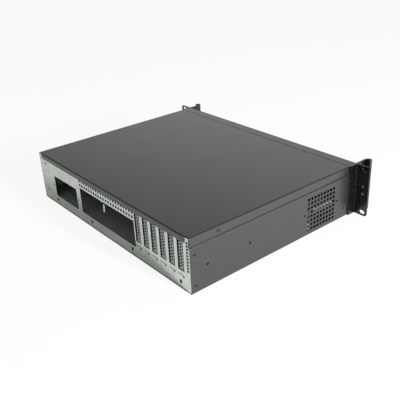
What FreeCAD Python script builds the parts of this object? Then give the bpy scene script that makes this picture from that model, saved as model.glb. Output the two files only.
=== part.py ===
import FreeCAD, Part
import math
import os

# Short-depth 2U rackmount case, empty. Millimetres, +Z up, front towards -Y, rear towards +Y.
# The origin is the centre of the case body's underside.

os.makedirs("parts", exist_ok=True)

# ---- Rack standard ----
RACK_W = 482.6           # nineteen inch panel width
EAR_W = 26.3             # flange of one ear, outside the body's side
RACK_HOLE_INSET = 8.75   # slots, from the ear's outer edge
RACK_HOLE_MARGIN = 5.9   # slots, from the ear's top and bottom
RACK_SLOT_L = 10.2
RACK_SLOT_H = 6.8

# ---- Case body ----
CASE_H = 88.0            # two rack units less the usual clearance
CASE_D = 350.0           # fascia face to the cover's rear lip
SHEET = 1.0              # body sheet
BEND = 0.6               # inside radius of the folds
FIT = 0.1                # clearance between sheets that lie on each other
FASCIA_T = 2.0           # front plate
EDGE_GAP = 0.2           # gap round the front plate
PLATE_CHAMFER = 0.6      # front edges of the front plate
HIDDEN_SIDES = 6         # sides of the small holes and screws inside the case
SIDES = 8                # sides of the small holes and screws on its outside
FACETS = 2               # flats that stand for a fold inside the case

# ---- Rack ears and handles ----
EAR_T = 2.0
EAR_BEND = 0.5
EAR_LEG = 17.5           # leg along the case side, from the ear's front face
EAR_CORNER = 4.0
EAR_WINDOW = (3.4, 9.6)  # small upright slot near the top of the leg
EAR_WINDOW_DROP = 10.0   # its centre, below the top
EAR_WINDOW_Y = 10.5      # from the ear's front face
EAR_SCREW_Y = 10.0
EAR_SCREW_DROP = 2.0     # below mid-height
HANDLE_T = 3.0
HANDLE_REACH = 29.6      # how far the handle stands in front of the ear
HANDLE_W = 11.5          # across the grip
HANDLE_LIP = 8.0
HANDLE_R = 7.0           # outside radius of the inner corner
HANDLE_LIP_R = 3.5       # outside radius of the outer corner
HANDLE_INSET = 2.0       # inner face of the grip, inside the body's side
HANDLE_EASE = 0.6        # small corners of the grip
FOOT_W = 22.0
FOOT_CORNER = 3.0
FOOT_RISE = (-12.0, 15.0)        # bottom and top of the foot, from mid-height
FOOT_SCREW_INSET = 15.5  # foot screws, from the body's side outwards
FOOT_SCREW_RISE = (-5.1, 8.2)    # foot screws, from mid-height

# ---- Folded sheets ----
FRONT_STRIP = 17.0       # fixed strip along the top front edge
STRIP_GAP = 1.2
COVER_FLANGE = 14.0      # depth of the cover's side flanges
SEAM_GAP = 0.6
RETURN_LIP = 8.0         # inward flange on top of the tray's sides
COVER_TONGUE = 9.0       # joggled front edge of the cover, under the strip
REAR_LIP = 9.3           # depth of the cover's rear lip
REAR_LIP_INSET = 10.0    # lip end to body side
REAR_FLANGE = 18.0       # side flanges of the rear panel
FLOOR_FLANGE = 12.0      # flanges that lie on the tray floor

# ---- Expansion slots ----
SLOT_PITCH = 20.32
SLOT_COUNT = 6
SLOT_MARGIN = 20.7       # centre of the last slot, from the body's side
SLOT_W = 13.4
SLOT_BOTTOM = 30.5
SLOT_DROP = 8.8          # top of the slots, below the case top
POCKET_Z = 21.8          # pressed pockets below the slots
POCKET_X = (-3.0, 8.6)   # their ends, from a slot's centre
POCKET_H = 3.4
POCKET_PROUD = 0.5
POCKET_HOLE_X = -5.0
POCKET_HOLE = 2.6

# ---- Slot covers ----
COVER_T = 0.8
COVER_W = 18.0
COVER_BOTTOM = 27.5
COVER_TAB = 11.0
PERF = 3.3
PERF_COLUMN = 4.6
PERF_ROWS = 9
PERF_MARGIN = 4.6        # first row of perforations, above the slot's bottom
RAIL_T = 1.2
SLOT_HEAD_R = 2.6

# ---- Input opening and vents ----
IO_W = 158.75
IO_H = 44.45
IO_BOTTOM = 19.0
IO_EDGE = 9.6            # edge of the opening, from the first slot's centre
OPENING_R = 1.5
VENT_PITCH = 7.3
VENT_W = 4.3
VENT_COLUMNS = 22
VENT_GAP = 3.3           # web between the input opening and its vents
VENT_WEB = 3.3           # web between the two rows
VENT_DROP = 8.75         # top of the upper row, below the case top
END_VENT_INSET = 5.4     # column of vents beside the last slot, from the body's side
END_VENT_W = 4.4
END_VENT_H = 3.2
END_VENT_COUNT = 10
FINGER_W = 4.5           # sprung wire finger above the input opening
FINGER_T = 0.6
FINGER_BEND = 1.2
FINGER_X = 9.5           # its edge, from the middle of the opening
FINGER_PATH = ((2.4, 21.0), (3.2, 8.0), (0.0, 2.0))   # inward and down from the opening's top

# ---- Power supply ----
PSU_MARGIN = 48.0        # opening to the body's side
PSU_STRIP = 13.3         # strip between the two large openings
PSU_H = 38.0
PSU_BOTTOM = 18.3
PSU_SCREW_GAP = 4.0      # screw holes beside the opening
PSU_SCREW_R = 1.8
PSU_DEPTH = 150.0
SPARE_HOLE_R = 2.2
SPARE_HOLE_INSET = 18.7
SPARE_HOLE_Z = 21.8
SPARE_HOLE_DROP = 17.0
STOP_T = 1.5
STOP_H = 34.0
STOP_FOOT = 13.0
STOP_SCREW_SPAN = 50.0
STOP_WINDOW = (12.0, 10.0, 7.0)  # margins beside, below and above the stop's window

# ---- Board tray ----
TRAY_TOP = 15.5
TRAY_INSET = 5.0         # edge of the raised floor, from the body's side
TRAY_MARGIN = 4.67       # raised floor in front of the last row of board holes
TRAY_FLANGE_DROP = 4.5   # rear flange, below its screws
TRAY_SCREWS = 4
TRAY_SCREW_ENDS = (23.5, 49.5)   # first and last screw, from the body's two sides
TRAY_SCREW_Z = 11.0
BOARD_HOLE_R = 1.6
BOARD_EDGE = 3.6         # first column of board holes, from the edge of the input opening
BOARD_SETIN = 12.0       # first row of board holes, from the rear wall
BOARD_COLUMNS = (0.0, 124.46, 203.2)
BOARD_ROWS = (0.0, 154.94, 227.33)

# ---- Side vents, rails and fasteners ----
GRID_COLUMNS = 9
GRID_ROWS = 8
GRID_PITCH = 7.4
GRID_SETBACK = 85.2      # centre of the side vents, from the front
GRID_HOLE = 4.9
RAIL_HOLE_R = 1.9
RAIL_HOLE_Z = 37.0
RAIL_HOLES_FRONT = (47.2, 123.5)
RAIL_HOLES_REAR = (110.3, 31.0)
COVER_SCREW_SETIN = 52.3
COVER_SCREW_DROP = 7.3
COVER_SCREW_H = 1.4
RIVET_SETIN = 9.0
RIVET_Z = 12.0
RIVET_DROP = 27.3
RIVET_R = 1.6
RIVET_HEAD_R = 2.6
RIVET_HEAD_H = 0.7
SCREW_R = 1.5
SCREW_CLEAR = 0.3
PAN_R = 3.0
PAN_H = 1.8
SOCKET_R = 1.2

# ---- Drive shelf ----
SHELF_W = 110.0
SHELF_SETBACK = 11.5     # shelf to front frame
SHELF_TOP = 30.0
SHELF_RIM = 8.0
SHELF_RIM_LENGTH = 46.0
SHELF_FOOT = 11.0
SHELF_MARGIN = 3.0
SHELF_SLOT = (60.0, 26.0)

# ---- Front plate and controls ----
SLOT_FIELD_X = (-30.0, 75.0)
FIELD_SLOTS = 13
FIELD_PITCH = 6.0
FIELD_SLOT_W = 3.2
FIELD_MARGIN = 16.0      # vent slots, from the top and bottom
FAN_R = 38.0
FAN_SIDES = 16
FAN_SPAN = 71.5
FAN_HOLE_R = 2.2
CONTROL_INSET = 39.0     # column of controls, from the body's side
POWER_DROP = 22.0
POWER_R = 6.0
RESET_DROP = 38.0
RESET_R = 2.4
BUTTON_SIDES = (24, 12)  # power, reset
BUTTON_GAP = 0.3
BUTTON_PROUD = 1.5
BUTTON_CHAMFER = 0.6
POWER_STROKE = 2.0
RESET_STROKE = 1.0
BUTTON_FLANGE = 1.2      # how far a button's flange is wider than its cap
BUTTON_FLANGE_T = 1.5
STEM_R = (2.0, 1.2)      # power, reset
SWITCH_HALF = (6.0, 3.5)
SWITCH_DEPTH = 9.5
SWITCH_WELL = 5.0        # floor of the stem's well, from the control board
PIPE_R = 1.5
PIPE_X = (-14.0, 14.0)
PIPE_DROP = 30.0
PIPE_PROUD = 0.5
USB_W = 14.4
USB_H = 7.0
USB_WALL = 0.7
USB_DEPTH = 12.0
USB_LENGTH = 18.0
USB_Z = (18.0, 30.0)
USB_TONGUE = (11.0, 1.9)
BOARD_T = 1.6
BOARD_SETBACK = 16.0     # board face behind the front frame
BOARD_W = 46.0
BOARD_MARGIN = 8.0       # board edges, from the case's top and bottom
POST_AF = 5.0
POST_INSET = 4.0
POST_HEAD_R = 2.4

# ---- Worked-out places ----
HALF_W = RACK_W / 2.0 - EAR_W
FACE_Y = -CASE_D / 2.0
EAR_BACK_Y = FACE_Y + EAR_T
FRAME_Y = FACE_Y + FASCIA_T
FRAME_BACK_Y = FRAME_Y + SHEET
LIP_Y = CASE_D / 2.0
WALL_Y = LIP_Y - SHEET
WALL_IN_Y = WALL_Y - SHEET
INNER_W = HALF_W - SHEET - FIT            # inside face of the sides, with clearance
JOG_W = HALF_W - SHEET - FIT              # outside face of the joggled upper sides
TRAY_RIM_Z = CASE_H - SHEET - FIT         # top of the tray's sides
SEAM_Z = CASE_H - COVER_FLANGE - SEAM_GAP
COVER_FRONT_Y = FRAME_Y + FRONT_STRIP + STRIP_GAP
FLOOR_Z = SHEET
MID_Z = CASE_H / 2.0
RACK_X = RACK_W / 2.0 - RACK_HOLE_INSET
FOOT_SCREW_Z = [MID_Z + rise for rise in FOOT_SCREW_RISE]
EAR_SCREW_Z = MID_Z - EAR_SCREW_DROP
SLOT_TOP = CASE_H - SLOT_DROP
SLOT_FIRST_X = SLOT_MARGIN - HALF_W + (SLOT_COUNT - 1) * SLOT_PITCH
TAB_Z = SLOT_TOP + COVER_T
PERF_FIRST_Z = SLOT_BOTTOM + PERF_MARGIN
PERF_ROW = (SLOT_TOP - PERF_FIRST_Z) / PERF_ROWS
IO_X = SLOT_FIRST_X + IO_EDGE + IO_W / 2.0
IO_TOP = IO_BOTTOM + IO_H
VENT_H = (CASE_H - VENT_DROP - IO_TOP - VENT_GAP - VENT_WEB) / 2.0
PSU_W = HALF_W - PSU_MARGIN - PSU_STRIP - IO_X - IO_W / 2.0
PSU_X = HALF_W - PSU_MARGIN - PSU_W / 2.0
BOARD_X = IO_X + IO_W / 2.0 - BOARD_EDGE
BOARD_Y = WALL_IN_Y - BOARD_SETIN
TRAY_HALF = HALF_W - TRAY_INSET
TRAY_FRONT = BOARD_Y - BOARD_ROWS[-1] - TRAY_MARGIN
SHELF_X = (-HALF_W + TRAY_INSET, -HALF_W + TRAY_INSET + SHELF_W)
SHELF_Y = (FRAME_BACK_Y + SHELF_SETBACK, TRAY_FRONT - SHEET)
RIVET_Y = LIP_Y - RIVET_SETIN
RIVET_HEIGHTS = (RIVET_Z, CASE_H - RIVET_DROP)
COVER_SCREW_Y = LIP_Y - COVER_SCREW_SETIN
COVER_SCREW_Z = CASE_H - COVER_SCREW_DROP
CONTROL_X = HALF_W - CONTROL_INSET
POWER_Z = CASE_H - POWER_DROP
RESET_Z = CASE_H - RESET_DROP
PIPE_Z = CASE_H - PIPE_DROP
BOARD_Z = (BOARD_MARGIN, CASE_H - BOARD_MARGIN)
BOARD_FACE_Y = FRAME_BACK_Y + BOARD_SETBACK

UP = FreeCAD.Vector(0, 0, 1)
REARWARD = FreeCAD.Vector(0, 1, 0)
RIGHTWARD = FreeCAD.Vector(1, 0, 0)


def vec(x, y, z):
    return FreeCAD.Vector(x, y, z)


def box(x0, x1, y0, y1, z0, z1):
    return Part.makeBox(x1 - x0, y1 - y0, z1 - z0, vec(x0, y0, z0))


def cylinder(radius, start, direction, length):
    return Part.makeCylinder(radius, length, start, direction)


def polygon_wire(radius, sides, height):
    """Regular outline round the Z axis at one height, with a corner on the X axis."""
    points = []
    for i in range(sides + 1):
        angle = 2.0 * math.pi * i / sides
        points.append(vec(radius * math.cos(angle), radius * math.sin(angle), height))
    return Part.makePolygon(points)


def placed(shape, start, direction):
    """Move a shape made on the Z axis: it starts at a point and runs along a direction."""
    shape.Placement = FreeCAD.Placement(start, FreeCAD.Rotation(UP, direction))
    return shape


def prism(radius, start, direction, length, sides=HIDDEN_SIDES):
    """Many-sided bar that stands for a small round one."""
    bar = Part.Face(polygon_wire(radius, sides, 0.0)).extrude(vec(0, 0, length))
    return placed(bar, start, direction)


def frustum(radius, end_radius, start, direction, length, sides=HIDDEN_SIDES):
    """Many-sided cone from one radius to another."""
    ends = [polygon_wire(radius, sides, 0.0), polygon_wire(end_radius, sides, length)]
    return placed(Part.makeLoft(ends, True, True), start, direction)


def fuse(shapes):
    body = shapes[0]
    if len(shapes) > 1:
        body = body.fuse(shapes[1:])
    return body.removeSplitter()


def cut(shape, tools):
    return shape.cut(tools) if tools else shape


def mirrored(shape):
    return shape.mirror(vec(0, 0, 0), RIGHTWARD)


def both_sides(shape):
    return [shape, mirrored(shape)]


def chords(arc, count):
    """Straight edges that stand for an arc."""
    points = arc.discretize(count + 1)
    return [Part.LineSegment(a, b).toShape() for a, b in zip(points, points[1:])]


def rounded_face(corners, facets=0):
    """Face bounded by a closed outline of (point, radius) corners; facets replace the arcs."""
    edges = []
    count = len(corners)
    ends = []
    for i, (point, radius) in enumerate(corners):
        before = (corners[i - 1][0] - point).normalize()
        after = (corners[(i + 1) % count][0] - point).normalize()
        if radius <= 0:
            ends.append((point, None, point))
            continue
        half = before.getAngle(after) / 2.0
        reach = radius / math.tan(half)
        middle = (before + after).normalize() * (radius / math.sin(half) - radius)
        ends.append((point + before * reach, point + middle, point + after * reach))
    for i, (start, middle, end) in enumerate(ends):
        if middle is not None:
            arc = Part.Arc(start, middle, end).toShape()
            edges += chords(arc, facets) if facets else [arc]
        following = ends[(i + 1) % count][0]
        edges.append(Part.LineSegment(end, following).toShape())
    return Part.Face(Part.Wire(edges))


def folded(path, place, span, thickness=SHEET, bend=BEND, facets=0):
    """Folded sheet: a path of 2D points, material on its left, swept along one direction.

    place turns a 2D point into a 3D one; span is the vector of the sweep.
    """
    points = [FreeCAD.Vector(a, b, 0) for a, b in path]
    headings = [(q - p).normalize() for p, q in zip(points, points[1:])]
    lefts = [FreeCAD.Vector(-h.y, h.x, 0) for h in headings]
    near = [(points[0], 0.0)]
    far = [(points[0] + lefts[0] * thickness, 0.0)]
    for i in range(1, len(points) - 1):
        turn = headings[i - 1].cross(headings[i]).z
        shift = (lefts[i - 1] + lefts[i]) * (thickness / (1.0 + lefts[i - 1].dot(lefts[i])))
        inner, outer = bend, bend + thickness
        near.append((points[i], outer if turn > 0 else inner))
        far.append((points[i] + shift, inner if turn > 0 else outer))
    near.append((points[-1], 0.0))
    far.append((points[-1] + lefts[-1] * thickness, 0.0))
    outline = [(place(p.x, p.y), r) for p, r in near + far[::-1]]
    return rounded_face(outline, facets).extrude(span)


def along_y(y0):
    """Section in X and Z that starts at y0."""
    return lambda a, b: vec(a, y0, b)


def along_x(x0):
    """Section in Y and Z that starts at x0."""
    return lambda a, b: vec(x0, a, b)


def window(x0, x1, z0, z1, y0, y1, corner=OPENING_R):
    """Prism along Y with small cut corners, for the openings of upright sheets."""
    c = corner * 0.6
    points = [(x0 + c, z0), (x1 - c, z0), (x1, z0 + c), (x1, z1 - c),
              (x1 - c, z1), (x0 + c, z1), (x0, z1 - c), (x0, z0 + c)]
    wire = Part.makePolygon([vec(x, y0, z) for x, z in points + points[:1]])
    return Part.Face(wire).extrude(vec(0, y1 - y0, 0))


def slotted_hole(x, z, length, height, y0, y1):
    """Prism along Y with round ends, for the rack slots."""
    half_l, half_h = length / 2.0, height / 2.0
    middle = box(x - half_l + half_h, x + half_l - half_h, y0, y1, z - half_h, z + half_h)
    ends = [cylinder(half_h, vec(x + s * (half_l - half_h), y0, z), REARWARD, y1 - y0) for s in (-1, 1)]
    return fuse([middle] + ends)


def drill_y(x, z, radius, y0, y1, sides=HIDDEN_SIDES):
    return prism(radius, vec(x, y0, z), REARWARD, y1 - y0, sides)


def drill_z(x, y, radius, z0, z1, sides=HIDDEN_SIDES):
    return prism(radius, vec(x, y, z0), UP, z1 - z0, sides)


def round_y(x, z, radius, y0, y1):
    return cylinder(radius, vec(x, y0, z), REARWARD, y1 - y0)


def pan_screw(seat, direction, length, head=PAN_R, height=PAN_H, sides=HIDDEN_SIDES):
    """Pan-head screw: the head stands on the seat, the shank runs the other way."""
    side = height * 0.5
    shank = prism(SCREW_R, seat, direction * -1.0, length, sides)
    if sides == HIDDEN_SIDES:
        return fuse([prism(head, seat, direction, height, sides), shank])
    skirt = prism(head, seat, direction, side, sides)
    crown = frustum(head, head * 0.7, seat + direction * side, direction, height - side, sides)
    socket = prism(SOCKET_R, seat + direction * side, direction, height, 6)
    return fuse([skirt, crown, shank]).cut(socket)


def flat_screw(face, direction, length):
    """Countersunk screw with its head flush with the face, shank against the direction."""
    depth = PAN_R - SCREW_R
    cone = frustum(PAN_R, SCREW_R, face, direction * -1.0, depth, SIDES)
    shank = prism(SCREW_R, face, direction * -1.0, length, SIDES)
    socket = prism(SOCKET_R, face - direction * (depth * 0.7), direction, depth, 6)
    return fuse([cone, shank]).cut(socket)


def flat_screw_hole(face, direction, length, clear=SCREW_CLEAR):
    """Countersunk hole round a flat_screw; with no clearance it is the sheet that holds the screw."""
    depth = PAN_R - SCREW_R
    outside = face + direction * clear
    cone = frustum(PAN_R + 2 * clear, SCREW_R + clear, outside, direction * -1.0, depth + clear, SIDES)
    return fuse([cone, prism(SCREW_R + clear, outside, direction * -1.0, length, SIDES)])


def rivet(outer_face, inward, grip):
    """Blind rivet through the sides, with a low head outside."""
    head = frustum(RIVET_HEAD_R, RIVET_R, outer_face, inward * -1.0, RIVET_HEAD_H, SIDES)
    return fuse([head, prism(RIVET_R, outer_face, inward, grip + RIVET_HEAD_H, SIDES)])


def spread(count, pitch, centre):
    """Evenly spaced places about a centre."""
    first = centre - (count - 1) * pitch / 2.0
    return [first + i * pitch for i in range(count)]


def slot_centres():
    return [SLOT_FIRST_X - i * SLOT_PITCH for i in range(SLOT_COUNT)]


def tray_screw_places():
    first = HALF_W - TRAY_SCREW_ENDS[1]
    last = TRAY_SCREW_ENDS[0] - HALF_W
    return spread(TRAY_SCREWS, (last - first) / (TRAY_SCREWS - 1), (first + last) / 2.0)


def board_hole_places():
    return [(BOARD_X - x, BOARD_Y - y) for x in BOARD_COLUMNS for y in BOARD_ROWS]


def is_board_corner(x, y):
    ends_x = (BOARD_X - BOARD_COLUMNS[0], BOARD_X - BOARD_COLUMNS[-1])
    ends_y = (BOARD_Y - BOARD_ROWS[0], BOARD_Y - BOARD_ROWS[-1])
    return x in ends_x and y in ends_y


def shelf_screw_places():
    inset = SHELF_RIM + PAN_R
    xs = (SHELF_X[0] + inset, SHELF_X[1] - inset)
    ys = (SHELF_Y[0] + SHELF_FOOT * 0.55, SHELF_Y[1] - SHELF_FOOT * 0.55)
    return [(x, y) for x in xs for y in ys]


def stop_face_y():
    """Front end of a power supply pushed against the rear panel."""
    return WALL_IN_Y - PSU_DEPTH


def stop_screw_places():
    y = stop_face_y() - STOP_T - STOP_FOOT * 0.5
    return [(x, y) for x in spread(2, STOP_SCREW_SPAN, PSU_X)]


def post_places():
    half = BOARD_W / 2.0 - POST_INSET
    heights = (BOARD_Z[0] + POST_INSET, BOARD_Z[1] - POST_INSET)
    return [(CONTROL_X + x, z) for x in (-half, half) for z in heights]


def side_vent_holes():
    """Square vent holes through the left side of the body."""
    half = GRID_HOLE / 2.0
    low = (SEAM_Z - SHEET * 2) / 2.0
    holes = []
    for y in spread(GRID_COLUMNS, GRID_PITCH, FACE_Y + GRID_SETBACK):
        for z in spread(GRID_ROWS, GRID_PITCH, low):
            holes.append(box(-HALF_W - 1, -INNER_W + 1, y - half, y + half, z - half, z + half))
    return holes


def side_round_holes():
    """Rail, rivet, cover-screw and ear-screw holes through the left side."""
    rails = [FACE_Y + d for d in RAIL_HOLES_FRONT] + [LIP_Y - d for d in RAIL_HOLES_REAR]
    places = [(y, RAIL_HOLE_Z, RAIL_HOLE_R) for y in rails]
    places += [(RIVET_Y, z, RIVET_R) for z in RIVET_HEIGHTS]
    places.append((COVER_SCREW_Y, COVER_SCREW_Z, SCREW_R + SCREW_CLEAR))
    places.append((FACE_Y + EAR_SCREW_Y, EAR_SCREW_Z, SCREW_R + SCREW_CLEAR))
    start = -HALF_W - SHEET
    return [prism(r, vec(start, y, z), RIGHTWARD, SHEET * 5, SIDES) for y, z, r in places]


def make_base_tray():
    """Floor and both sides, folded from one sheet, with joggled upper edges."""
    rise = JOG_W - HALF_W
    left = [
        (-JOG_W + RETURN_LIP, TRAY_RIM_Z),
        (-JOG_W, TRAY_RIM_Z),
        (-JOG_W, SEAM_Z),
        (-HALF_W, SEAM_Z + rise),
        (-HALF_W, 0.0),
    ]
    right = [(-x, z) for x, z in reversed(left)]
    y0 = FRAME_BACK_Y + BEND + FIT
    body = folded(left + right, along_y(y0), vec(0, WALL_Y - y0, 0))
    holes = []
    for hole in side_round_holes():
        holes += both_sides(hole)
    holes += side_vent_holes()
    for x, y in shelf_screw_places():
        holes.append(drill_z(x, y, SCREW_R, -1, FLOOR_Z + 1))
    inside = JOG_W - SHEET
    top = TRAY_RIM_Z - SHEET - BEND
    holes.append(box(-inside, inside, WALL_IN_Y - FIT, WALL_Y + 1, top, CASE_H))
    return cut(body, holes)


def perforations(centre):
    """Staggered square perforations of one slot cover."""
    half = PERF / 2.0
    holes = []
    for column in (-1, 0, 1):
        lift = PERF_ROW / 2.0 if column == 0 else 0.0
        x = centre + column * PERF_COLUMN
        for row in range(PERF_ROWS):
            z = PERF_FIRST_Z + lift + row * PERF_ROW
            holes.append(box(x - half, x + half, WALL_IN_Y - 2, WALL_Y, z - half, z + half))
    return holes


def make_slot_cover(centre):
    """Perforated blank for one expansion slot, with a tab under the slot rail."""
    back = WALL_IN_Y - FIT
    path = [(back, COVER_BOTTOM), (back, TAB_Z), (back - COVER_TAB, TAB_Z)]
    body = folded(path, along_x(centre - COVER_W / 2), vec(COVER_W, 0, 0), COVER_T, facets=FACETS)
    holes = perforations(centre)
    holes.append(drill_z(centre, back - COVER_TAB / 2, SCREW_R, TAB_Z - 3, TAB_Z + 1))
    return cut(body, holes)


def make_slot_rail():
    """Angle above the slot covers that their tabs are screwed to."""
    back = WALL_IN_Y - FIT
    low = TAB_Z + FIT
    length = SLOT_PITCH * (SLOT_COUNT - 1) + COVER_W
    start = slot_centres()[-1] - COVER_W / 2
    path = [(back - COVER_TAB, low), (back, low), (back, TRAY_RIM_Z - SHEET - BEND)]
    body = folded(path, along_x(start), vec(length, 0, 0), RAIL_T, facets=FACETS)
    y = back - COVER_TAB / 2
    return cut(body, [drill_z(x, y, SCREW_R + SCREW_CLEAR, low - 1, low + 3) for x in slot_centres()])


def make_slot_screws():
    top = TAB_Z + FIT + RAIL_T
    y = WALL_IN_Y - FIT - COVER_TAB / 2
    length = RAIL_T + FIT + COVER_T * 2
    return [pan_screw(vec(x, y, top), UP, length, SLOT_HEAD_R) for x in slot_centres()]


def rear_vents():
    """Vent holes above the input opening and beside the last slot."""
    y0, y1 = WALL_IN_Y - 1, WALL_Y + 1
    half = VENT_W / 2.0
    holes = []
    for x in spread(VENT_COLUMNS, VENT_PITCH, IO_X):
        for row in (0, 1):
            low = IO_TOP + VENT_GAP + row * (VENT_H + VENT_WEB)
            holes.append(box(x - half, x + half, y0, y1, low, low + VENT_H))
    half = END_VENT_W / 2.0
    rise = END_VENT_H / 2.0
    x = END_VENT_INSET - HALF_W
    for i in range(END_VENT_COUNT):
        z = PERF_FIRST_Z + i * PERF_ROW
        holes.append(box(x - half, x + half, y0, y1, z - rise, z + rise))
    return holes


def rear_openings():
    """Power supply, input and expansion slot openings."""
    y0, y1 = WALL_IN_Y - 1, WALL_Y + 1
    half = IO_W / 2.0
    tools = [window(IO_X - half, IO_X + half, IO_BOTTOM, IO_TOP, y0, y1)]
    half = PSU_W / 2.0
    tools.append(window(PSU_X - half, PSU_X + half, PSU_BOTTOM, PSU_BOTTOM + PSU_H, y0, y1, OPENING_R * 2))
    half = SLOT_W / 2.0
    for x in slot_centres():
        tools.append(box(x - half, x + half, y0, y1, SLOT_BOTTOM, SLOT_TOP))
    return tools


def rear_small_holes():
    """Screw holes of the power supply, pocket holes and spare holes."""
    y0, y1 = WALL_IN_Y - 1, WALL_Y + 1
    middle = PSU_BOTTOM + PSU_H / 2.0
    spare_x = HALF_W - SPARE_HOLE_INSET
    span = PSU_W + 2 * PSU_SCREW_GAP
    tools = [round_y(x, middle, PSU_SCREW_R, y0, y1) for x in spread(2, span, PSU_X)]
    for z in (SPARE_HOLE_Z, CASE_H - SPARE_HOLE_DROP):
        tools.append(drill_y(spare_x, z, SPARE_HOLE_R, y0, y1, SIDES))
    half = POCKET_HOLE / 2.0
    for x in slot_centres():
        tools.append(box(x + POCKET_HOLE_X - half, x + POCKET_HOLE_X + half, y0, y1,
                         POCKET_Z - half, POCKET_Z + half))
    for x in tray_screw_places():
        tools.append(flat_screw_hole(vec(x, WALL_Y, TRAY_SCREW_Z), REARWARD, SHEET * 4))
    return tools


def make_rear_panel():
    """Rear wall with folded edges: openings, vents and flanges inside the body."""
    shoulder = SEAM_Z + (JOG_W - HALF_W) - SHEET
    neck = JOG_W - SHEET - FIT
    path = [(WALL_Y - FLOOR_FLANGE, FLOOR_Z), (WALL_Y, FLOOR_Z), (WALL_Y, TRAY_RIM_Z),
            (WALL_Y - FLOOR_FLANGE, TRAY_RIM_Z)]
    middle = JOG_W - RETURN_LIP - FIT * 5
    core = folded(path, along_x(-middle), vec(2 * middle, 0, 0))
    parts = [core]
    for side in (-1, 1):
        x0, x1 = sorted((side * (HALF_W - REAR_LIP_INSET), side * neck))
        parts.append(box(x0, x1, WALL_IN_Y, WALL_Y, FLOOR_Z + FIT, TRAY_RIM_Z))
    flange = [(-INNER_W + SHEET * 3, WALL_Y), (-INNER_W, WALL_Y), (-INNER_W, WALL_Y - REAR_FLANGE)]
    low = FLOOR_Z + BEND * 2.5
    wing = folded(flange, lambda a, b: vec(a, b, low), vec(0, 0, shoulder - low))
    parts += both_sides(wing)
    for x in slot_centres():
        parts.append(box(x + POCKET_X[0], x + POCKET_X[1], WALL_IN_Y + FIT, WALL_Y + POCKET_PROUD,
                         POCKET_Z - POCKET_H / 2, POCKET_Z + POCKET_H / 2))
    body = fuse(parts)
    holes = rear_openings() + rear_vents() + rear_small_holes()
    for z in RIVET_HEIGHTS:
        holes += both_sides(prism(RIVET_R, vec(-HALF_W, RIVET_Y, z), RIGHTWARD, SHEET * 4, SIDES))
    return cut(body, holes)


def make_wire_finger():
    """Sprung finger welded inside the wall above the input opening."""
    back = WALL_IN_Y - FIT
    path = [(back - inward, IO_TOP - down) for inward, down in FINGER_PATH]
    path.append((back, IO_TOP + VENT_GAP - FIT * 4))
    return folded(path, along_x(IO_X + FINGER_X), vec(FINGER_W, 0, 0), FINGER_T, FINGER_BEND)


def make_top_cover():
    """Cover folded from one sheet: side flanges, rear lip and a joggled front tongue."""
    side = [(HALF_W, CASE_H - COVER_FLANGE), (HALF_W, CASE_H), (-HALF_W, CASE_H),
            (-HALF_W, CASE_H - COVER_FLANGE)]
    body = folded(side, along_y(COVER_FRONT_Y), vec(0, WALL_Y - COVER_FRONT_Y, 0))
    lip_half = HALF_W - REAR_LIP_INSET
    bend = SHEET * 2 + BEND
    body = body.cut(box(-lip_half, lip_half, LIP_Y - bend, LIP_Y, CASE_H - SHEET * 2, CASE_H + 1))
    lip = [(LIP_Y, CASE_H - REAR_LIP), (LIP_Y, CASE_H), (LIP_Y - bend, CASE_H)]
    tongue_half = JOG_W - RETURN_LIP - SHEET * 5
    drop = SHEET + FIT
    front = [(COVER_FRONT_Y + 1, CASE_H), (COVER_FRONT_Y, CASE_H), (COVER_FRONT_Y - drop, CASE_H - drop),
             (COVER_FRONT_Y - drop - COVER_TONGUE, CASE_H - drop)]
    parts = [body]
    parts.append(folded(lip, along_x(-lip_half), vec(2 * lip_half, 0, 0)))
    parts.append(folded(front, along_x(-tongue_half), vec(2 * tongue_half, 0, 0), bend=FIT * 2))
    body = fuse(parts)
    start = vec(-HALF_W - SHEET, COVER_SCREW_Y, COVER_SCREW_Z)
    return cut(body, both_sides(prism(SCREW_R + SCREW_CLEAR, start, RIGHTWARD, SHEET * 3, SIDES)))


def control_holes(y0, y1):
    """Holes for buttons, light pipes and sockets through an upright plate."""
    tools = [
        drill_y(CONTROL_X, POWER_Z, POWER_R + BUTTON_GAP, y0, y1, BUTTON_SIDES[0]),
        drill_y(CONTROL_X, RESET_Z, RESET_R + BUTTON_GAP, y0, y1, BUTTON_SIDES[1]),
    ]
    for x in PIPE_X:
        tools.append(drill_y(CONTROL_X + x, PIPE_Z, PIPE_R + BUTTON_GAP, y0, y1, SIDES))
    tools += [usb_box(z, -BUTTON_GAP, y0, y1) for z in USB_Z]
    return tools


def front_frame_holes():
    """Bare fan positions and the control openings of the frame."""
    y0, y1 = FRAME_Y - 1, FRAME_BACK_Y + 1
    tools = []
    for x in SLOT_FIELD_X:
        tools.append(drill_y(x, MID_Z, FAN_R, y0, y1, FAN_SIDES))
        for hx in spread(2, FAN_SPAN, x):
            tools += [drill_y(hx, hz, FAN_HOLE_R, y0, y1) for hz in spread(2, FAN_SPAN, MID_Z)]
    return tools + control_holes(y0, y1)


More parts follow.
